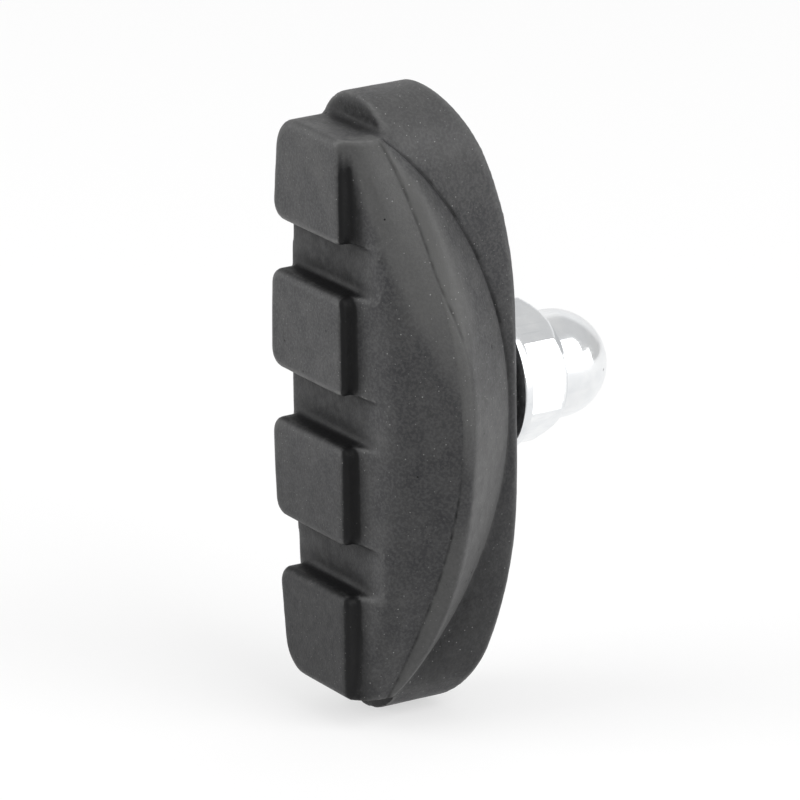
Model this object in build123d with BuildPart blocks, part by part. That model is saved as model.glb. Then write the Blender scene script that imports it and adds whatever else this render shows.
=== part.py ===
from build123d import *
import os
from math import sqrt

# A moulded rubber brake block with four friction lugs, a steel strip inside it, a threaded stud
# out of its back, a washer and a dome nut.
# Millimetres. Z runs along the block, Y along the stud away from the rim, X across the block.
# The origin is on the stud, in the plane where the washer seats on the block.
# Depths are measured back from the friction face, along Y.
overall_length = 50.2
seat_depth = 15.5

# Back slab: a bulged stadium seen from the front, with a crowned back
slab_mid_width = 13.2
slab_end_radius = 5.7
slab_thickness = 10.7
slab_flat_length = 16.0
slab_crown_radius = 34.0
slab_edge_break = 0.5
boss_diameter = 10.0
boss_height = 0.85
boss_overlap = 0.5

# Cheeks: the swelling on both sides, with its ridge, its rear crease on the slab and its run to the lugs
cheek_length = 45.5
cheek_swell = 4.8
cheek_vanish = 0.6
ridge_depth = 7.5
ridge_band = 0.96
ridge_lean = 0.2
shoulder_lean = 0.85
shoulder_band = 0.45
crease_rim = 1.08
crease_radius = 30.5
crease_overlap = 0.6
cheek_bulge = 0.9
cheek_knee = 0.65
cheek_tip_bulge = 0.15
cheek_far_tip_taper = 0.35
crest_power = 1.2
tip_power = 8
station_count = 11

# Friction lugs: four in a row, cut apart by three slots
lug_count = 4
lug_pitch = 12.2
lug_near_edge = 4.0
lug_far_edge = 6.95
lug_far_radius = 157.0
lug_root_overlap = 0.3
lug_step = 1.3
lug_near_tip_step = 0.3
lug_far_tip_rise = 0.18
slot_width = 4.06
slot_depth = 2.0
lug_corner_round = 0.8
lug_far_round = 1.4
lug_outer_round = 2.8
lug_face_break = 0.35

# Steel strip and stud inside the rubber
plate_length = 30.0
plate_width = 7.0
plate_thickness = 1.6
plate_depth = 9.0
stud_diameter = 6.0
stud_head_diameter = 9.0
stud_head_height = 1.2
stud_reach = 6.0

# Washer and dome nut
washer_diameter = 12.0
washer_bore = 6.4
washer_thickness = 0.8
nut_across_flats = 10.0
nut_hex_height = 3.9
nut_top_chamfer = 1.0
nut_top_diameter = 9.5
nut_turn = 40.0
dome_diameter = 8.7
dome_collar = 1.5
thread_clearance = 0.05
nut_bore_spare = 1.0

os.makedirs("parts", exist_ok=True)

face_y = -seat_depth
half_length = overall_length / 2
slab_back_depth = seat_depth - boss_height
slab_front_depth = slab_back_depth - slab_thickness
crease_depth = slab_back_depth - crease_rim
slab_mid_half = slab_mid_width / 2
slab_end_centre = half_length - slab_end_radius
# The slab's long side is the one arc that touches both end rounds and the middle width
slab_side_radius = (slab_end_centre**2 + slab_mid_half**2 - slab_end_radius**2) / (
    2 * (slab_mid_half - slab_end_radius)
)
slab_side_inset = slab_side_radius - slab_mid_half
cheek_half = cheek_length / 2
cheek_vanish_half = cheek_half + cheek_vanish
crease_tip_depth = crease_depth - crease_radius + sqrt(crease_radius**2 - cheek_half**2)
lug_far_tip_step = crease_tip_depth - lug_far_tip_rise
plate_y = face_y + plate_depth
stud_tip_y = washer_thickness + stud_reach


# Back slab, on its own so that its edges are broken before the cheeks join it
with BuildPart() as back_slab:
    with BuildSketch(Plane.YZ):
        with BuildLine():
            # The side profile runs a little past the ends, which the stadium outline then trims
            profile_half = half_length + slab_edge_break
            flat_half = slab_flat_length / 2
            front_y = face_y + slab_front_depth
            back_y = face_y + slab_back_depth
            crown_drop = slab_crown_radius - sqrt(slab_crown_radius**2 - (profile_half - flat_half) ** 2)
            end_y = back_y - crown_drop
            Line((end_y, -profile_half), (front_y, -profile_half))
            Line((front_y, -profile_half), (front_y, profile_half))
            Line((front_y, profile_half), (end_y, profile_half))
            TangentArc((back_y, flat_half), (end_y, profile_half), tangent=(0, 1))
            Line((back_y, flat_half), (back_y, -flat_half))
            TangentArc((back_y, -flat_half), (end_y, -profile_half), tangent=(0, -1))
        make_face()
    extrude(amount=slab_mid_width, both=True)
    with BuildSketch(Plane.XZ):
        with BuildLine():
            touch_height = slab_end_centre * slab_side_radius / (slab_side_radius - slab_end_radius)
            touch_half = sqrt(slab_side_radius**2 - touch_height**2) - slab_side_inset
            ThreePointArc((touch_half, -touch_height), (slab_mid_half, 0), (touch_half, touch_height))
            ThreePointArc((touch_half, touch_height), (0, half_length), (-touch_half, touch_height))
            ThreePointArc((-touch_half, touch_height), (-slab_mid_half, 0), (-touch_half, -touch_height))
            ThreePointArc((-touch_half, -touch_height), (0, -half_length), (touch_half, -touch_height))
        make_face()
    extrude(amount=seat_depth, mode=Mode.INTERSECT)
    rim = back_slab.edges().filter_by(GeomType.LINE, reverse=True)
    chamfer(rim.filter_by(lambda edge: edge.center().Y > front_y + slab_edge_break), slab_edge_break)

# Slots: bars across the whole block, which part the lugs and run out into the cheeks
with BuildPart() as slot_bars:
    with BuildSketch(Plane.YZ):
        with Locations((face_y + slot_depth / 2, 0)):
            with GridLocations(0, lug_pitch, 1, lug_count - 1):
                Rectangle(slot_depth, slot_width)
    extrude(amount=overall_length, both=True)

# Row of lugs: one ridge with a straight near side and a bowed far side, cut apart by the slots
with BuildPart() as lug_row:
    with BuildSketch(Plane.XZ.offset(seat_depth)):
        with BuildLine():
            far_drop = lug_far_radius - sqrt(lug_far_radius**2 - cheek_half**2)
            far_tip = far_drop - lug_far_edge
            Line((lug_near_edge, -cheek_half), (lug_near_edge, cheek_half))
            Line((lug_near_edge, cheek_half), (far_tip, cheek_half))
            ThreePointArc((far_tip, cheek_half), (-lug_far_edge, 0), (far_tip, -cheek_half))
            Line((far_tip, -cheek_half), (lug_near_edge, -cheek_half))
        make_face()
    extrude(amount=-slab_front_depth - lug_root_overlap)
    add(slot_bars.part, mode=Mode.SUBTRACT)
    corners = lug_row.edges().filter_by(Axis.Y)
    outer_corners = corners.filter_by(lambda edge: abs(edge.center().Z) > cheek_half - slot_width / 2)
    inner_corners = corners.filter_by(lambda edge: abs(edge.center().Z) < cheek_half - slot_width / 2)
    fillet(outer_corners.filter_by(lambda edge: edge.center().X < 0), lug_outer_round)
    fillet(inner_corners.filter_by(lambda edge: edge.center().X < 0), lug_far_round)
    fillet(inner_corners.filter_by(lambda edge: edge.center().X > 0), lug_corner_round)
    chamfer(lug_row.faces().filter_by(Axis.Y).group_by(Axis.Y)[0].edges(), lug_face_break)

# Anchor plate: a flat steel strip with round ends and a hole for the stud
with BuildPart() as anchor_plate:
    with BuildSketch(Plane.XZ.offset(-plate_y)):
        SlotOverall(plate_length, plate_width, rotation=90)
        Circle(stud_diameter / 2, mode=Mode.SUBTRACT)
    extrude(amount=-plate_thickness)
anchor_plate.part.label = "anchor_plate"
export_step(anchor_plate.part, "parts/anchor_plate.step")

# Threaded stud: turned steel, its head tight under the plate and its tip blind in the nut
with BuildPart() as threaded_stud:
    with BuildSketch(Plane.XY):
        with BuildLine():
            Polyline(
                (0, plate_y - stud_head_height),
                (stud_head_diameter / 2, plate_y - stud_head_height),
                (stud_head_diameter / 2, plate_y),
                (stud_diameter / 2, plate_y),
                (stud_diameter / 2, stud_tip_y),
                (0, stud_tip_y),
                close=True,
            )
        make_face()
    revolve(axis=Axis.Y)
threaded_stud.part.label = "threaded_stud"
export_step(threaded_stud.part, "parts/threaded_stud.step")

# Rubber block: the cheeks are drawn through cross-sections along the block, then joined to the rest
with BuildPart() as rubber_block:
    for station in range(station_count):
        height = cheek_half * (2 * station / (station_count - 1) - 1)
        fullness = 1 - (height / cheek_vanish_half) ** 2
        wall_x = sqrt(slab_side_radius**2 - height**2) - slab_side_inset
        crease_s = crease_depth - crease_radius + sqrt(crease_radius**2 - height**2)
        ridge_x = wall_x + cheek_swell * fullness
        ridge_s = crease_s - (crease_depth - ridge_depth) * fullness**crest_power
        # The band along the ridge is widest at the shoulders, between the middle and the tips
        shoulder = 4 * fullness * (1 - fullness)
        front_x = ridge_x - ridge_lean - shoulder_lean * shoulder
        front_s = ridge_s - ridge_band * sqrt(fullness) - shoulder_band * shoulder
        root_x = wall_x - crease_overlap * (ridge_x - wall_x) / (crease_s - ridge_s)
        root_y = face_y + crease_s + crease_overlap
        # Towards the tips the step beside the lugs fades on the near side. The far side deepens and draws in
        fade = (height / cheek_half) ** tip_power
        near_step_y = face_y + lug_step + (lug_near_tip_step - lug_step) * fade
        far_side = cheek_far_tip_taper * fade - 1
        far_step_y = face_y + lug_step + (lug_far_tip_step - lug_step) * fade
        front_y = face_y + front_s
        ridge_y = face_y + ridge_s
        # The near run leaves the lug straight at an easy slope, then turns to the ridge round a control point
        bulge = cheek_tip_bulge + (cheek_bulge - cheek_tip_bulge) * fullness * (2 - fullness)
        run_x = front_x - lug_near_edge
        run_y = front_y - near_step_y
        control_reach = 2 * bulge / sqrt(run_x**2 + run_y**2)
        control_x = lug_near_edge + run_x / 2 + run_y * control_reach
        control_y = near_step_y + run_y / 2 - run_x * control_reach
        knee_x = lug_near_edge + cheek_knee * (control_x - lug_near_edge)
        knee_y = near_step_y + cheek_knee * (control_y - near_step_y)
        with BuildSketch(Plane.XY.offset(height)):
            with BuildLine():
                Line((lug_near_edge * far_side, far_step_y), (lug_near_edge, near_step_y))
                Line((lug_near_edge, near_step_y), (knee_x, knee_y))
                Bezier((knee_x, knee_y), (control_x, control_y), (front_x, front_y))
                Line((front_x, front_y), (ridge_x, ridge_y))
                Line((ridge_x, ridge_y), (root_x, root_y))
                Line((root_x, root_y), (root_x * far_side, root_y))
                Line((root_x * far_side, root_y), (ridge_x * far_side, ridge_y))
                Line((ridge_x * far_side, ridge_y), (front_x * far_side, front_y))
                Line((front_x * far_side, front_y), (lug_near_edge * far_side, far_step_y))
            make_face()
    loft()
    add(slot_bars.part, mode=Mode.SUBTRACT)
    add(lug_row.part)
    add(back_slab.part)
    with BuildSketch(Plane.XZ):
        Circle(boss_diameter / 2)
    extrude(amount=boss_height + boss_overlap)
    # The rubber is moulded round the strip and the stud, so it fits them face to face
    add(anchor_plate.part, mode=Mode.SUBTRACT)
    add(threaded_stud.part, mode=Mode.SUBTRACT)
rubber_block.part.label = "rubber_block"
export_step(rubber_block.part, "parts/rubber_block.step")

# Plain washer, seated on the boss
with BuildPart() as plain_washer:
    with BuildSketch(Plane.XZ):
        Circle(washer_diameter / 2)
        Circle(washer_bore / 2, mode=Mode.SUBTRACT)
    extrude(amount=-washer_thickness)
plain_washer.part.label = "plain_washer"
export_step(plain_washer.part, "parts/plain_washer.step")

# Dome nut: a hexagon chamfered at its outer end, closed by a dome, with a blind bore
with BuildPart() as dome_nut:
    with BuildSketch(Plane.XZ.offset(-washer_thickness)):
        RegularPolygon(nut_across_flats / 2, 6, major_radius=False, rotation=nut_turn)
    extrude(amount=-nut_hex_height)
    nut_corner = nut_across_flats / sqrt(3)
    hex_top_y = washer_thickness + nut_hex_height
    dome_centre_y = hex_top_y + dome_collar
    with BuildSketch(Plane.XY):
        with BuildLine():
            Polyline(
                (0, washer_thickness),
                (nut_corner, washer_thickness),
                (nut_corner, hex_top_y - nut_top_chamfer),
                (nut_top_diameter / 2, hex_top_y),
                (0, hex_top_y),
                close=True,
            )
        make_face()
    revolve(axis=Axis.Y, mode=Mode.INTERSECT)
    with BuildSketch(Plane.XY):
        with BuildLine():
            Line((0, hex_top_y), (dome_diameter / 2, hex_top_y))
            Line((dome_diameter / 2, hex_top_y), (dome_diameter / 2, dome_centre_y))
            RadiusArc(
                (dome_diameter / 2, dome_centre_y), (0, dome_centre_y + dome_diameter / 2), -dome_diameter / 2
            )
            Line((0, dome_centre_y + dome_diameter / 2), (0, hex_top_y))
        make_face()
    revolve(axis=Axis.Y)
    with BuildSketch(Plane.XZ.offset(-washer_thickness)):
        Circle(stud_diameter / 2 + thread_clearance)
    extrude(amount=-stud_reach - nut_bore_spare, mode=Mode.SUBTRACT)
dome_nut.part.label = "dome_nut"
export_step(dome_nut.part, "parts/dome_nut.step")
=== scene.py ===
from math import cos, exp, hypot, pi, radians, sin, sqrt

import bmesh
import bpy
from mathutils import Matrix, Vector, noise
from mathutils.bvhtree import BVHTree


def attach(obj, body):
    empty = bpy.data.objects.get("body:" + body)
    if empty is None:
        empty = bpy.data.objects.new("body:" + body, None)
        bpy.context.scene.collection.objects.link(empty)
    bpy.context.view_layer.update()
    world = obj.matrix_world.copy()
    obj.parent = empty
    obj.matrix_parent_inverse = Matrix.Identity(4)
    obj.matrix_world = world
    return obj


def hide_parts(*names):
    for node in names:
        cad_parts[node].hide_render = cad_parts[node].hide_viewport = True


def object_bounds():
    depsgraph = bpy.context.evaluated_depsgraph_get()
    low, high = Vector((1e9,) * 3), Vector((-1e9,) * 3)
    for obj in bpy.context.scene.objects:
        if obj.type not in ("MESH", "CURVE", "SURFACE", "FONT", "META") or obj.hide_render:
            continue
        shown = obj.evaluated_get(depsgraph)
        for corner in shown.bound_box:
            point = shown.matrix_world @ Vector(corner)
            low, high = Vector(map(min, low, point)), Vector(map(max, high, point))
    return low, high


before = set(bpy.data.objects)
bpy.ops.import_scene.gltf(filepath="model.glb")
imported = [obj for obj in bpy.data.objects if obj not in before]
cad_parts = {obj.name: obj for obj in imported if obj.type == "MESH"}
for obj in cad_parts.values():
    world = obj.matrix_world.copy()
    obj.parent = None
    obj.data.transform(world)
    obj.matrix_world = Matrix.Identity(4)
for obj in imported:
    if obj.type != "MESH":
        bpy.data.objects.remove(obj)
cad_low, cad_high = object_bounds()

# Anchor plate. A strip of plain rolled steel with round ends, pierced for the stud.
# The rubber is moulded all round it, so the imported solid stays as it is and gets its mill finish:
# grey steel with the streaks of the rolls along it and a few dark pits.
plate_dark = (0.27, 0.265, 0.26, 1)
plate_light = (0.44, 0.435, 0.43, 1)
plate_pit = (0.12, 0.1, 0.09, 1)


def put(tree, kind, inputs=(), **settings):
    """Adds a shader node, with its settings and with its inputs linked or set."""
    node = tree.nodes.new("ShaderNode" + kind)
    for setting, value in settings.items():
        setattr(node, setting, value)
    for socket, source in dict(inputs).items():
        if isinstance(source, bpy.types.NodeSocket):
            tree.links.new(source, node.inputs[socket])
        else:
            node.inputs[socket].default_value = source
    return node


def tint(tree, share, first, second):
    """Mixes two colours by a mask that changes over the surface."""
    mix = put(tree, "Mix", {0: share, 6: first, 7: second}, data_type="RGBA")
    return mix.outputs[2]


def between(tree, value, low, high, to_low, to_high):
    """Stretches a value from one range to another, and holds it at both ends."""
    stretch = put(
        tree, "MapRange", {"Value": value, 1: low, 2: high, 3: to_low, 4: to_high}, interpolation_type="SMOOTHSTEP"
    )
    return stretch.outputs[0]


def start_material(name):
    """A new material with its principled shader, its tree and the coordinates of its piece."""
    material = bpy.data.materials.new(name)
    material.use_nodes = True
    tree = material.node_tree
    place = put(tree, "TexCoord").outputs["Object"]
    return material, tree, tree.nodes["Principled BSDF"], place


def cloudy(tree, place, scale, detail, roughness):
    """Soft noise over the surface, with values about one half."""
    return put(
        tree, "TexNoise", {"Vector": place, "Scale": scale, "Detail": detail, "Roughness": roughness}
    ).outputs["Fac"]


def start_group(name, inputs, output):
    """A new node group with its named inputs and one value to put out."""
    group = bpy.data.node_groups.new(name, "ShaderNodeTree")
    for socket, kind in inputs.items():
        group.interface.new_socket(socket, in_out="INPUT", socket_type="NodeSocket" + kind)
    group.interface.new_socket(output, in_out="OUTPUT", socket_type="NodeSocketFloat")
    return group, group.nodes.new("NodeGroupInput"), group.nodes.new("NodeGroupOutput")


# Small specks, each a dot of its own size, thinly and unevenly strewn: pits, pores and dust
speck_inputs = {"Place": "Vector", "Scale": "Float", "Share": "Float", "Size": "Float"}
specks, specks_in, specks_out = start_group("specks", speck_inputs, "Mask")
speck_sharpness = 25.0
dots = put(specks, "TexVoronoi", {"Vector": specks_in.outputs["Place"], "Scale": specks_in.outputs["Scale"]})
pick = put(specks, "SeparateColor", {0: dots.outputs["Color"]})
kept = put(specks, "Math", {0: pick.outputs[0], 1: specks_in.outputs["Share"]}, operation="LESS_THAN")
reach = put(specks, "Math", {0: pick.outputs[1], 1: specks_in.outputs["Size"]}, operation="MULTIPLY")
inside = put(specks, "Math", {0: reach.outputs[0], 1: dots.outputs["Distance"]}, operation="SUBTRACT")
soft = put(specks, "Math", {0: inside.outputs[0], 1: speck_sharpness}, operation="MULTIPLY", use_clamp=True)
dotted = put(specks, "Math", {0: soft.outputs[0], 1: kept.outputs[0]}, operation="MULTIPLY")
specks.links.new(dotted.outputs[0], specks_out.inputs["Mask"])

# Fine streaks that run along one axis, as rolls, dies and turning tools leave them
streaks, streaks_in, streaks_out = start_group("streaks", {"Place": "Vector", "Stretch": "Vector"}, "Streak")
drawn = put(
    streaks, "VectorMath", {0: streaks_in.outputs["Place"], 1: streaks_in.outputs["Stretch"]}, operation="MULTIPLY"
)
streaks.links.new(cloudy(streaks, drawn.outputs[0], 1.0, 4.0, 0.65), streaks_out.inputs["Streak"])


def strew(tree, place, scale, share, size):
    """A mask of specks, by how close they lie, what share of them is kept, and their greatest size."""
    settings = {"Place": place, "Scale": scale, "Share": share, "Size": size}
    return put(tree, "Group", settings, node_tree=specks).outputs["Mask"]


def plain_steel(name, stretch):
    """Bare grey steel with the marks of its making along one axis."""
    material, tree, shader, place = start_material(name)
    marks = put(tree, "Group", {"Place": place, "Stretch": stretch}, node_tree=streaks).outputs["Streak"]
    colour = tint(tree, between(tree, marks, 0.3, 0.7, 0, 1), plate_dark, plate_light)
    colour = tint(tree, strew(tree, place, 1600.0, 0.25, 0.3), colour, plate_pit)
    tree.links.new(colour, shader.inputs["Base Color"])
    tree.links.new(between(tree, marks, 0.3, 0.7, 0.34, 0.5), shader.inputs["Roughness"])
    relief = put(tree, "Bump", {"Height": marks, "Strength": 0.3, "Distance": 0.00003})
    tree.links.new(relief.outputs[0], shader.inputs["Normal"])
    shader.inputs["Metallic"].default_value = 1.0
    return material


plate_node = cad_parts["anchor_plate"]
plate_node.data.materials.clear()
plate_node.data.materials.append(plain_steel("rolled_steel", (6000, 6000, 250)))

# Threaded stud. Turned from the same plain steel, its head tight under the plate and its thread up
# into the nut. All of it is hidden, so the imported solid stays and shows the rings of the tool.
stud_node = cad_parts["threaded_stud"]
stud_node.data.materials.clear()
stud_node.data.materials.append(plain_steel("turned_steel", (300, 9000, 300)))

# Rubber block. One piece of black rubber, pressed in a two-part mould round its steel insert.
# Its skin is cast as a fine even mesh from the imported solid, so that its edges come out slightly
# soft, and then gets the mould's parting lines, the groove along the crease, small dents and waves.
skin_pitch = 0.000232
skin_easing = 1
seat_depth = 15.5
side_radius = 215.24
side_inset = 208.64
vanish_half = 23.35
cheek_half = 22.75
cheek_swell = 4.8
crease_depth = 13.57
crease_radius = 30.5
ridge_fall = 6.07
crest_power = 1.2
flash_lean = 0.2
flash_band = 0.96
shoulder_lean = 0.85
shoulder_band = 0.45
far_tip_taper = 0.35
far_tip_power = 8
slot_middles = (-12.2, 0, 12.2)
slot_walls = (1.4, 2.5)
slot_end = 6.6
lug_foot = 5.2
near_side = 3
run_half = 20
ridge_reach = 0.6
worn_heights = (6, 22)
far_away = 9.0
calm_passes = 50
ridge_passes = 10
wear_starts = (0.006, 0.007, 0.008, 0.009, 0.010, 0.011)
wear_passes = 12
wave_height = 0.018
line_reach = 0.26
flash_width = 0.1
crease_width = 0.12
look_count = 18
look_reach = 0.005
mask_passes = 4


def ease(shape, verts):
    """One light pass that rounds what the given points hold."""
    bmesh.ops.smooth_vert(shape, verts=verts, factor=0.5, use_axis_x=True, use_axis_y=True, use_axis_z=True)


def cast_skin(node, name, pitch, easing):
    """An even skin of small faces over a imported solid, with its sharp edges eased."""
    copy = bmesh.new()
    copy.from_mesh(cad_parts[node].data)
    bmesh.ops.remove_doubles(copy, verts=copy.verts[:], dist=1e-7)
    copy_mesh = bpy.data.meshes.new(name + "_copy")
    copy.to_mesh(copy_mesh)
    copy.free()
    copy_object = bpy.data.objects.new(name + "_copy", copy_mesh)
    bpy.context.scene.collection.objects.link(copy_object)
    skin = copy_object.modifiers.new("skin", "REMESH")
    skin.mode = "VOXEL"
    skin.voxel_size = pitch
    skin.adaptivity = 0.0
    evaluated = copy_object.evaluated_get(bpy.context.evaluated_depsgraph_get())
    mesh = bpy.data.meshes.new_from_object(evaluated)
    bpy.data.objects.remove(copy_object)
    bpy.data.meshes.remove(copy_mesh)
    mesh.name = name
    mesh.materials.clear()
    shape = bmesh.new()
    shape.from_mesh(mesh)
    for _ in range(easing):
        ease(shape, shape.verts[:])
    return mesh, shape


def keep_inside(shape):
    """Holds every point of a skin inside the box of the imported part."""
    for vert in shape.verts:
        for axis in range(3):
            vert.co[axis] = min(max(vert.co[axis], cad_low[axis]), cad_high[axis])


def shade_smooth(shape):
    """Lets every face of a shape blend into the next one."""
    for face in shape.faces:
        face.smooth = True


def add_piece(name, mesh):
    """A finished piece at the origin, linked into the scene."""
    piece = bpy.data.objects.new(name, mesh)
    bpy.context.scene.collection.objects.link(piece)
    return piece


def ramp(value, start, span):
    """A straight climb from 0 to 1 over a span."""
    return min(max((value - start) / span, 0), 1)


def rise(value, low, high):
    """A soft step from 0 to 1 between two values."""
    part = ramp(value, low, high - low)
    return part * part * (3 - 2 * part)


def dip(gap, width):
    """A soft bell that is 1 at no gap and falls away over a width."""
    return exp(-((gap / width) ** 2))


def locate(point):
    """A point's distance out from the stud, depth behind the friction face and height, in millimetres."""
    return point.x * 1000, point.y * 1000 + seat_depth, point.z * 1000


def draw_in(out, height):
    """How far the far cheek is drawn in towards its tips. The near one isn't."""
    return 1 - far_tip_taper * (height / cheek_half) ** far_tip_power if out < 0 else 1.0


def slot_distance(height):
    """How far a height is from the middle of the nearest slot."""
    return min(abs(height - middle) for middle in slot_middles)


def cheek_lines(height):
    """Flash line, ridge line and crease of the near cheek at a height, each as distance out and depth."""
    full = 1 - (height / vanish_half) ** 2
    wall = sqrt(side_radius**2 - height**2) - side_inset
    crease = crease_depth - crease_radius + sqrt(crease_radius**2 - height**2)
    ridge_out = wall + cheek_swell * full
    ridge = crease - ridge_fall * full**crest_power
    shoulder = 4 * full * (1 - full)
    flash_out = ridge_out - flash_lean - shoulder_lean * shoulder
    flash = ridge - flash_band * sqrt(full) - shoulder_band * shoulder
    return (flash_out, flash), (ridge_out, ridge), (wall, crease)


def drawn_lines(height):
    """The lines that show: flash line, parting line, which leaves it for the ridge on the way down, and crease."""
    flash_spot, ridge_spot, crease_spot = (Vector(spot) for spot in cheek_lines(height))
    return flash_spot, ridge_spot.lerp(flash_spot, rise(height, 4, 13)), crease_spot


def line_distances(point):
    """How far a point of the skin is from the three lines that show on its own cheek, in millimetres."""
    out, depth, height = locate(point)
    if abs(height) > cheek_half:
        return far_away, far_away, far_away
    taper = draw_in(out, height)
    step = 0.1
    gaps = []
    for (line_out, line_depth), (next_out, next_depth) in zip(drawn_lines(height), drawn_lines(height + step)):
        slope = hypot(next_out - line_out, next_depth - line_depth) / step
        gaps.append(hypot(abs(out) - line_out * taper, depth - line_depth) / sqrt(1 + slope**2))
    return tuple(gaps)


def on_near_run(point):
    """Whether a point lies on the open part of the near cheek, clear of the slots' walls."""
    out, depth, height = locate(point)
    if out < lug_foot or abs(height) > run_half:
        return False
    (flash_out, flash), _, _ = cheek_lines(height)
    clear_of_walls = out > slot_end or not slot_walls[0] <= slot_distance(height) <= slot_walls[1]
    return out < flash_out - 0.5 and depth < flash and clear_of_walls


def by_ridge(point):
    """Whether a point lies close to the ridge of its cheek."""
    out, depth, height = locate(point)
    if abs(height) > cheek_half:
        return False
    _, (ridge_out, ridge), _ = cheek_lines(height)
    return hypot(abs(out) - ridge_out * draw_in(out, height), depth - ridge) < ridge_reach


def on_upper_ridge(point):
    """Whether a point lies on the upper near cheek between the flash line and the crease."""
    out, depth, height = locate(point)
    if out < near_side or not worn_heights[0] < height < worn_heights[1]:
        return False
    (_, flash), _, (_, crease) = cheek_lines(height)
    return flash + 0.2 < depth < crease - 0.3


def painted_light_at(point, normal):
    """How much lighter grey is painted at a point as painted light, where the light falls: most on the near
    cheek's bands, thinner on the slab's ends.
    """
    out, depth, height = locate(point)
    # Painted light: lighter towards the top, where the light from above falls.
    top_painted_light = 0.2 * rise(height, 14, 24)
    if out < near_side or abs(height) > cheek_half:
        return top_painted_light
    (flash_out, flash), (_, ridge), (_, crease) = cheek_lines(height)
    if depth > crease + 0.15:
        # Painted light on the slab's side, lighter where it faces right and towards the bottom.
        return top_painted_light + 0.12 * rise(-height, 8, 16) * rise(normal.x, 0.5, 0.9)
    if depth > flash and out > flash_out - 0.2 or depth > ridge:
        across = ramp(depth, flash, max(crease - flash, 0.1))
        before = 0.55 * rise(height, -6, 2) + 0.55 * rise(-height, 4, 11)
        behind = 0.42 * rise(-height, -8, 4)
        low_painted_light = before + (behind - before) * rise(depth, ridge - 0.1, ridge + 0.2)
        high_painted_light = 0.95 * (1 - rise(across, 0.05, 0.6)) - 0.1 * rise(across, 0.4, 0.9)
        return max(low_painted_light + (high_painted_light - low_painted_light) * rise(height, 3, 11), 0)
    return 0.6 * rise(out + 0.385 * height, 11.6, 12.5) * rise(height, -6, 12)


def rub_and_highlight(normal):
    """Rubbed edges, with a painted highlight that shows most where they hang over: along the lower edges of the
    lugs and the rim.
    """
    return 0.2 + 0.8 * rise(-normal.z, 0.1, 0.5)


def painted_shade_at(point, normal):
    """How much painted shade darkens a point: painted shadows of the lugs and darkening in corners and recesses.
    """
    out, depth, height = locate(point)
    pitch = slot_middles[2] - slot_middles[1]
    slot_gap = slot_distance(height)
    painted_shade = 0.0
    # Walls of the lugs
    if depth < 2.3 and 3.3 < out < 4.5:
        painted_shade += 0.5 * rise(normal.x, 0.4, 0.8) * rise(depth, 0.02, 0.25) * rise(23 - height, 0.5, 4.5)
    # Feet of the lugs, a painted shadow of each lug, blacker towards each lug's lower end and towards the ends of
    # the block
    if 0.9 < depth < 2.2 and 3.9 < out < 6.0 and slot_gap > 2.0:
        along = ((height + 2 * pitch) % pitch) / pitch
        ends = 0.25 + 0.75 * rise(abs(height + 3), 6, 18)
        painted_shade += (0.06 + 0.3 * rise(1 - along, 0.1, 0.8)) * rise(6.0 - out, 0, 2.0) * ends
    # Floors of the slots
    if 1.5 < depth < 2.3 and normal.y < -0.8 and slot_gap < 2.0:
        painted_shade += 0.08 * rise(6.2 - out, 0, 2)
    # Lower half of the near side
    if depth > 2.5:
        low_side = rise(depth, 2.5, 7) * rise(normal.x, 0.7, 0.95) * rise(-height, -14, 0)
        painted_shade += (0.1 + 0.06 * rise(-height, 10, 18)) * low_side
    # Slab behind the crease
    if abs(height) < cheek_half and depth > cheek_lines(height)[2][1]:
        painted_shade += 0.05 * rise(-height, -12, -2)
    # Friction faces, blacker downwards
    if depth < 0.5:
        painted_shade += 0.08 + 0.17 * rise(-height, -6, 20)
    # Front of the slab's foot
    if depth > 2.5:
        painted_shade += 0.4 * rise(-height, 22.3, 23.3) * rise(-normal.y, 0.3, 0.7)
    return painted_shade


skin_mesh, skin = cast_skin("rubber_block", "moulded_block", skin_pitch, skin_easing)

# The near cheek is drawn smooth between the foot of the lugs and the flash line
calm = [vert for vert in skin.verts if on_near_run(vert.co)]
for _ in range(calm_passes):
    ease(skin, calm)

# Both ridges are eased along their length, and the near one is worn round above the middle
ridges = [vert for vert in skin.verts if by_ridge(vert.co)]
for _ in range(ridge_passes):
    ease(skin, ridges)
worn = [vert for vert in skin.verts if on_upper_ridge(vert.co)]
for start_height in wear_starts:
    worn = [vert for vert in worn if vert.co.z > start_height]
    for _ in range(wear_passes):
        ease(skin, worn)

# The faces along the lines are split finer, so that the lines can be pressed in
lined = [face for face in skin.faces if min(line_distances(face.calc_center_median())) < line_reach]
lined_edges = list({edge for face in lined for edge in face.edges})
bmesh.ops.subdivide_edges(skin, edges=lined_edges, cuts=1, use_grid_fill=True)
skin.normal_update()

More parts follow.
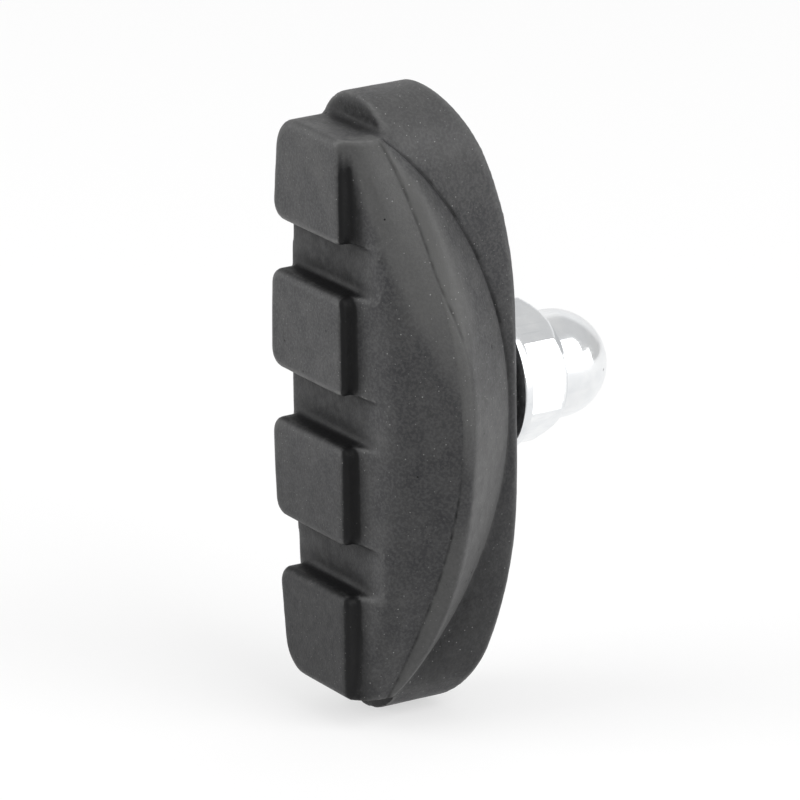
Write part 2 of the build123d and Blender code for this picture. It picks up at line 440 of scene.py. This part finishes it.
# Bubbles and knocks in the skin, each at a place out, back and up, with its width and depth
dents = (
    ((8.04, -4.31, 5.39), 0.12, 0.12),
    ((7.29, -5.24, -11.17), 0.11, 0.12),
    ((6.78, -5.59, -13.15), 0.14, 0.14),
    ((6.68, -5.82, -13.72), 0.1, 0.1),
)
moves = []
line_shade = []
for vert in skin.verts:
    flash_gap, parting_gap, crease_gap = line_distances(vert.co)
    height = vert.co.z * 1000
    ragged = min(max(0.6 + 0.8 * noise.noise(Vector((0, vert.co.x * 100, height * 1.1))), 0), 1)
    upper = rise(height, -8, 8)
    lower_flash = rise(-height, 1, 5)
    above_middle = rise(height, -8, 1)
    # Painted shade: the flash line, the parting line and the crease are darkened as painted shade in their
    # grooves.
    groove_shade = max(
        (0.12 + 0.88 * lower_flash) * ragged * dip(flash_gap, flash_width),
        0.7 * ragged * dip(parting_gap, flash_width) * above_middle,
        (0.3 + 0.7 * upper) * dip(crease_gap, crease_width),
    )
    push = wave_height * (noise.noise(vert.co * 380) * 0.6 + noise.noise(vert.co * 1100) * 0.4)
    push -= (0.01 + 0.1 * lower_flash) * ragged * dip(flash_gap, flash_width)
    push -= 0.06 * ragged * dip(parting_gap, crease_width) * above_middle
    push -= (0.03 + 0.15 * upper) * dip(crease_gap, crease_width)
    for middle, width, depth in dents:
        sunk = dip((vert.co * 1000 - Vector(middle)).length, width)
        push -= depth * sunk
        # Painted shade in each dent.
        groove_shade = max(groove_shade, sunk)
    moves.append(vert.normal * push * 0.001)
    line_shade.append(groove_shade)
for vert, move in zip(skin.verts, moves):
    vert.co += move
keep_inside(skin)
shade_smooth(skin)
skin.normal_update()
skin.verts.index_update()
finished = [(vert.co.copy(), vert.normal.copy()) for vert in skin.verts]
skin.to_mesh(skin_mesh)

# How open each point lies: the share of straight looks outwards that meet no rubber within a few
# millimetres, evened out along each side and less the painted shade of the corners and painted shadows
look_lift = 0.00008
golden_turn = 2.399963
point_turn = 0.7
same_side = 0.9
around = BVHTree.FromBMesh(skin)
openness = []
for number, (spot, normal) in enumerate(finished):
    side = normal.orthogonal().normalized()
    other = normal.cross(side)
    start = spot + normal * look_lift
    free = 0
    for look in range(look_count):
        climb = sqrt((look + 0.5) / look_count)
        swing = look * golden_turn + number * point_turn
        way = normal * sqrt(1 - climb**2) + (side * cos(swing) + other * sin(swing)) * climb
        free += around.ray_cast(start, way, look_reach)[0] is None
    openness.append(free / look_count)
for _ in range(mask_passes):
    for vert in skin.verts:
        beside = [edge.other_vert(vert) for edge in vert.link_edges]
        level = [openness[other.index] for other in beside if other.normal.dot(vert.normal) > same_side]
        if level:
            openness[vert.index] = 0.4 * openness[vert.index] + 0.6 * sum(level) / len(level)
# Painted shade: the painted shadows and darkened corners are taken off the openness.
for number, (spot, normal) in enumerate(finished):
    openness[number] -= painted_shade_at(spot, normal)

# Where more easing would take the skin in, it stands out as an edge. Where easing would lift it, it is
# hollow, and there it is darkened as painted shade.
edge_start, edge_span = 0.008, 0.045
hollow_start, hollow_span = 0.01, 0.06
for _ in range(mask_passes):
    ease(skin, skin.verts[:])
swell = [(spot - vert.co).dot(normal) * 1000 for (spot, normal), vert in zip(finished, skin.verts)]
skin.free()
# Masks for the rubber: rubbed edges with a painted highlight, painted shade in hollows and lines, painted light on
# the cheek, and openness less painted shade.
skin_masks = {
    "edge": [ramp(lift, edge_start, edge_span) * rub_and_highlight(normal) for lift, (_, normal) in zip(swell, finished)],
    "hollow_shade": [max(ramp(-lift, hollow_start, hollow_span), groove_shade) for lift, groove_shade in zip(swell, line_shade)],
    "lighter_tone": [painted_light_at(spot, normal) for spot, normal in finished],
    "open": openness,
}
for mask_name, mask_values in skin_masks.items():
    skin_mesh.attributes.new(mask_name, "FLOAT", "POINT").data.foreach_set("value", mask_values)
moulded_block = add_piece("moulded_block", skin_mesh)

rubber_dark = (0.037, 0.037, 0.0395, 1)
rubber_light = (0.056, 0.056, 0.057, 1)
scuff_light = (0.105, 0.105, 0.104, 1)
scuff_dark = (0.02, 0.02, 0.021, 1)
grain_light = (0.105, 0.105, 0.105, 1)
painted_light_grey = (0.125, 0.125, 0.123, 1)
rub_and_highlight_grey = (0.32, 0.32, 0.315, 1)
crease_shade_black = (0.006, 0.006, 0.0065, 1)
painted_shade_black = (0.004, 0.004, 0.0045, 1)
pore_black = (0.007, 0.007, 0.007, 1)
dust_grey = (0.3, 0.3, 0.295, 1)
rubber, tree, shader, place = start_material("black_rubber")
edge, hollow_shade, lighter_tone, openness_less_shade = (
    put(tree, "Attribute", attribute_name=mask_name).outputs["Fac"] for mask_name in skin_masks
)
cloud = cloudy(tree, place, 260.0, 4.0, 0.6)
patch = cloudy(tree, place, 900.0, 3.0, 0.6)
grain = cloudy(tree, place, 4200.0, 4.0, 0.6)
scuff = cloudy(tree, place, 620.0, 8.0, 0.78)
shade_noise = cloudy(tree, place, 1500.0, 5.0, 0.7)
dust = strew(tree, place, 2800.0, 0.9, 0.17)
pores = strew(tree, place, 1100.0, 0.08, 0.13)
colour = tint(tree, between(tree, cloud, 0.32, 0.68, 0, 1), rubber_dark, rubber_light)
colour = tint(tree, between(tree, scuff, 0.47, 0.7, 0, 0.3), colour, scuff_light)
colour = tint(tree, between(tree, scuff, 0.46, 0.3, 0, 0.22), colour, scuff_dark)
colour = tint(tree, between(tree, grain, 0.42, 0.62, 0, 0.42), colour, grain_light)
# Painted light: a lighter grey where the light falls on the near cheek's bands and towards the top.
colour = tint(tree, lighter_tone, colour, painted_light_grey)
# Rubbed edges lighter, partly wear and partly a painted highlight along the edges that face down.
rub_and_highlight_share = put(tree, "Math", {0: edge, 1: between(tree, patch, 0.3, 0.6, 0.25, 1.0)}, operation="MULTIPLY")
colour = tint(tree, rub_and_highlight_share.outputs[0], colour, rub_and_highlight_grey)
# Painted shade: black in the hollows, along the lines and in the dents.
colour = tint(tree, hollow_shade, colour, crease_shade_black)
# Painted shade: black where the skin lies closed in and in the painted shadows, with a ragged edge.
shade_jitter = between(tree, shade_noise, 0.3, 0.7, -0.5, 0.5)
shade_spread = between(tree, openness_less_shade, 0.55, 0.78, 0.28, 0.03)
ragged_shade = put(tree, "Math", {0: shade_jitter, 1: shade_spread, 2: openness_less_shade}, operation="MULTIPLY_ADD")
colour = tint(tree, between(tree, ragged_shade.outputs[0], 0.60, 0.98, 0, 1), painted_shade_black, colour)
colour = tint(tree, pores, colour, pore_black)
uneven_dust = put(tree, "Math", {0: dust, 1: between(tree, cloud, 0.4, 0.6, 0.25, 1)}, operation="MULTIPLY")
open_dust = put(
    tree, "Math", {0: uneven_dust.outputs[0], 1: between(tree, openness_less_shade, 0.55, 0.9, 0.15, 1)}, operation="MULTIPLY"
)
colour = tint(tree, open_dust.outputs[0], colour, dust_grey)
tree.links.new(colour, shader.inputs["Base Color"])
tree.links.new(between(tree, patch, 0.25, 0.75, 0.46, 0.6), shader.inputs["Roughness"])
skin_height = put(tree, "Math", {0: patch, 1: 0.3, 2: grain}, operation="MULTIPLY_ADD")
skin_relief = put(tree, "Bump", {"Height": skin_height.outputs[0], "Strength": 0.6, "Distance": 0.00005})
tree.links.new(skin_relief.outputs[0], shader.inputs["Normal"])
shader.inputs["IOR"].default_value = 1.35
skin_mesh.materials.append(rubber)
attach(moulded_block, "root")
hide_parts("rubber_block")

# Plain washer. Punched from steel strip, so its edges are slightly rolled, and zinc plated bright.
# It lies flat on the block's boss under the nut.
washer_outer = 0.006
washer_inner = 0.0032
washer_thickness = 0.0008
washer_edge = 0.00014
washer_steps = 96
zinc_blue = (0.80, 0.815, 0.83, 1)
zinc_milk = (0.88, 0.89, 0.895, 1)
zinc_streak = (0.66, 0.68, 0.7, 1)
zinc_pore = (0.3, 0.3, 0.3, 1)


def bright_plate(name, stretch, low_rough, high_rough):
    """Bright zinc plate: nearly white, with faint streaks, a milky bloom in places and small pits."""
    material, tree, shader, place = start_material(name)
    marks = put(tree, "Group", {"Place": place, "Stretch": stretch}, node_tree=streaks).outputs["Streak"]
    lighter_tone = cloudy(tree, place, 420.0, 3.0, 0.55)
    colour = tint(tree, between(tree, lighter_tone, 0.35, 0.7, 0, 1), zinc_blue, zinc_milk)
    colour = tint(tree, between(tree, marks, 0.55, 0.8, 0, 0.4), colour, zinc_streak)
    colour = tint(tree, strew(tree, place, 900.0, 0.12, 0.16), colour, zinc_pore)
    tree.links.new(colour, shader.inputs["Base Color"])
    tree.links.new(between(tree, marks, 0.3, 0.75, low_rough, high_rough), shader.inputs["Roughness"])
    relief = put(tree, "Bump", {"Height": marks, "Strength": 0.12, "Distance": 0.00002})
    tree.links.new(relief.outputs[0], shader.inputs["Normal"])
    shader.inputs["Metallic"].default_value = 1.0
    return material


ring = bmesh.new()
corners = [
    ring.verts.new((washer_inner, 0, 0)),
    ring.verts.new((washer_outer, 0, 0)),
    ring.verts.new((washer_outer, washer_thickness, 0)),
    ring.verts.new((washer_inner, washer_thickness, 0)),
]
sides = [ring.edges.new((corners[i], corners[(i + 1) % 4])) for i in range(4)]
bmesh.ops.spin(
    ring, geom=corners + sides, cent=(0, 0, 0), axis=(0, 1, 0), angle=2 * pi, steps=washer_steps, use_merge=True
)
bmesh.ops.remove_doubles(ring, verts=ring.verts[:], dist=1e-7)
bmesh.ops.recalc_face_normals(ring, faces=ring.faces[:])
rims = [edge for edge in ring.edges if abs(edge.calc_face_angle(0)) > radians(45)]
bmesh.ops.bevel(
    ring, geom=rims, offset=washer_edge, offset_type="OFFSET", segments=3, profile=0.5, affect="EDGES", material=-1
)
shade_smooth(ring)
washer_mesh = bpy.data.meshes.new("punched_washer")
ring.to_mesh(washer_mesh)
ring.free()
washer_mesh.materials.append(bright_plate("plated_washer", (900, 900, 900), 0.16, 0.26))
punched_washer = add_piece("punched_washer", washer_mesh)
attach(punched_washer, "root")
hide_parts("plain_washer")

# Dome nut. Cold formed from hexagon bar with a closed dome, then zinc plated bright. Its edges are
# eased by the plating, and faint draw marks of the bar run along its flats.
nut_pitch = 0.00011
nut_easing = 2
nut_mesh, nut_shape = cast_skin("dome_nut", "formed_nut", nut_pitch, nut_easing)
shade_smooth(nut_shape)
keep_inside(nut_shape)
nut_shape.to_mesh(nut_mesh)
nut_shape.free()
nut_mesh.materials.append(bright_plate("plated_nut", (2600, 160, 2600), 0.1, 0.22))
formed_nut = add_piece("formed_nut", nut_mesh)
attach(formed_nut, "root")
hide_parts("dome_nut")

# Table and room. A white sheet lies just below the block, in a white studio that is brighter behind
# the block and dimmer on the camera's side. A large soft lamp stands at the upper right, a panel
# behind it and another lamp at the left.
table_drop = 0.0003
table_half = 6.0
table_glow = 0.58
table_grey = (0.4, 0.4, 0.4, 1)
camera_side = (0.856, -0.516, 0)
room_front = (0.80, -0.48, 0.36)
room_back = (-0.71, 0.68, 0.18)
table_shape = bmesh.new()
bmesh.ops.create_grid(table_shape, x_segments=1, y_segments=1, size=table_half)
bmesh.ops.translate(table_shape, verts=table_shape.verts[:], vec=(0, 0, cad_low.z - table_drop))
table_mesh = bpy.data.meshes.new("table")
table_shape.to_mesh(table_mesh)
table_shape.free()
table = add_piece("table", table_mesh)
white = bpy.data.materials.new("white_table")
white.use_nodes = True
tree = white.node_tree
tree.nodes.clear()
path = put(tree, "LightPath")
mirrored = put(
    tree, "Math", {0: path.outputs["Is Glossy Ray"], 1: path.outputs["Is Transmission Ray"]}, operation="MAXIMUM"
)
table_way = put(tree, "VectorMath", {0: put(tree, "TexCoord").outputs["Object"]}, operation="NORMALIZE")
to_camera = put(tree, "VectorMath", {0: table_way.outputs[0], 1: camera_side}, operation="DOT_PRODUCT")
dim_front = between(tree, to_camera.outputs["Value"], 0.6, 0.88, 1.0, 0.2)
gloss_seen = put(tree, "Math", {0: mirrored.outputs[0], 1: dim_front}, operation="MULTIPLY")
seen = put(tree, "Math", {0: path.outputs["Is Camera Ray"], 1: gloss_seen.outputs[0]}, operation="MAXIMUM")
glow_strength = put(tree, "Math", {0: seen.outputs[0], 1: table_glow}, operation="MULTIPLY")
sheet = put(tree, "BsdfDiffuse", {"Color": table_grey})
glow = put(tree, "Emission", {"Strength": glow_strength.outputs[0]})
both = put(tree, "AddShader", {0: sheet.outputs[0], 1: glow.outputs[0]})
put(tree, "OutputMaterial", {"Surface": both.outputs[0]})
table_mesh.materials.append(white)

world = bpy.data.worlds.new("white_room")
bpy.context.scene.world = world
world.use_nodes = True
tree = world.node_tree
tree.nodes.clear()
direction = put(tree, "TexCoord").outputs["Generated"]
upward = put(tree, "SeparateXYZ", {0: direction}).outputs["Z"]
wall_light = between(tree, upward, 0.0, 0.8, 0.6, 0.7)
facing = put(tree, "VectorMath", {0: direction, 1: room_front}, operation="DOT_PRODUCT").outputs["Value"]
dimmed = between(tree, facing, 0.55, 0.85, 1.0, 0.4)
backdrop = put(tree, "VectorMath", {0: direction, 1: room_back}, operation="DOT_PRODUCT").outputs["Value"]
lifted = between(tree, backdrop, 0.8, 0.95, 1.0, 1.5)
front_light = put(tree, "Math", {0: wall_light, 1: dimmed}, operation="MULTIPLY").outputs[0]
room_light = put(tree, "Math", {0: front_light, 1: lifted}, operation="MULTIPLY")
room = put(tree, "Background", {"Color": (1, 1, 1, 1), "Strength": room_light.outputs[0]})
put(tree, "OutputWorld", {"Surface": room.outputs[0]})


def soft_lamp(name, toward, distance, width, height, radiance):
    """A soft lamp that faces the block from a direction, with the same brightness all over."""
    lamp = bpy.data.lights.new(name, "AREA")
    lamp.shape = "RECTANGLE"
    lamp.size = width
    lamp.size_y = height
    lamp.energy = radiance * pi * width * height
    lamp_object = bpy.data.objects.new(name, lamp)
    lamp_object.location = Vector(toward).normalized() * distance
    lamp_object.rotation_euler = Vector(toward).to_track_quat("Z", "Y").to_euler()
    bpy.context.scene.collection.objects.link(lamp_object)


soft_lamp("right_lamp", (0.78, 0.29, 0.53), 0.6, 0.5, 0.52, 2.8)
soft_lamp("back_panel", (0.75, 0.64, 0.12), 0.9, 0.8, 0.5, 1.7)
soft_lamp("left_lamp", (-0.42, -0.85, 0.34), 0.7, 0.6, 0.6, 3.0)

# Camera, as the photograph was taken. A long lens, a little above the block and to the right of its
# friction face, turned very slightly about its own axis.
camera_distance = 0.6007
camera_lens = 348.7
camera_roll = 0.0151
camera_aim = (0.006574, 0.000791)
turn = 0.5423
tilt = 0.3194
right = Vector((sin(turn), cos(turn), 0))
up = Vector((-cos(turn) * sin(tilt), sin(turn) * sin(tilt), cos(tilt)))
near = Vector((cos(turn) * cos(tilt), -sin(turn) * cos(tilt), sin(tilt)))
face_centre = Vector((0, -seat_depth * 0.001, 0))
camera_data = bpy.data.cameras.new("camera")
camera_data.lens = camera_lens
camera_data.sensor_width = 36
camera_data.clip_start = 0.01
camera_data.clip_end = 50
camera = bpy.data.objects.new("camera", camera_data)
bpy.context.scene.collection.objects.link(camera)
rolled_right = right - camera_roll * up
rolled_up = up + camera_roll * right
spot = face_centre + near * camera_distance + right * camera_aim[0] + up * camera_aim[1]
camera.matrix_world = Matrix((rolled_right, rolled_up, near)).transposed().to_4x4()
camera.location = spot
bpy.context.scene.camera = camera

bpy.context.scene.view_settings.view_transform = "Standard"
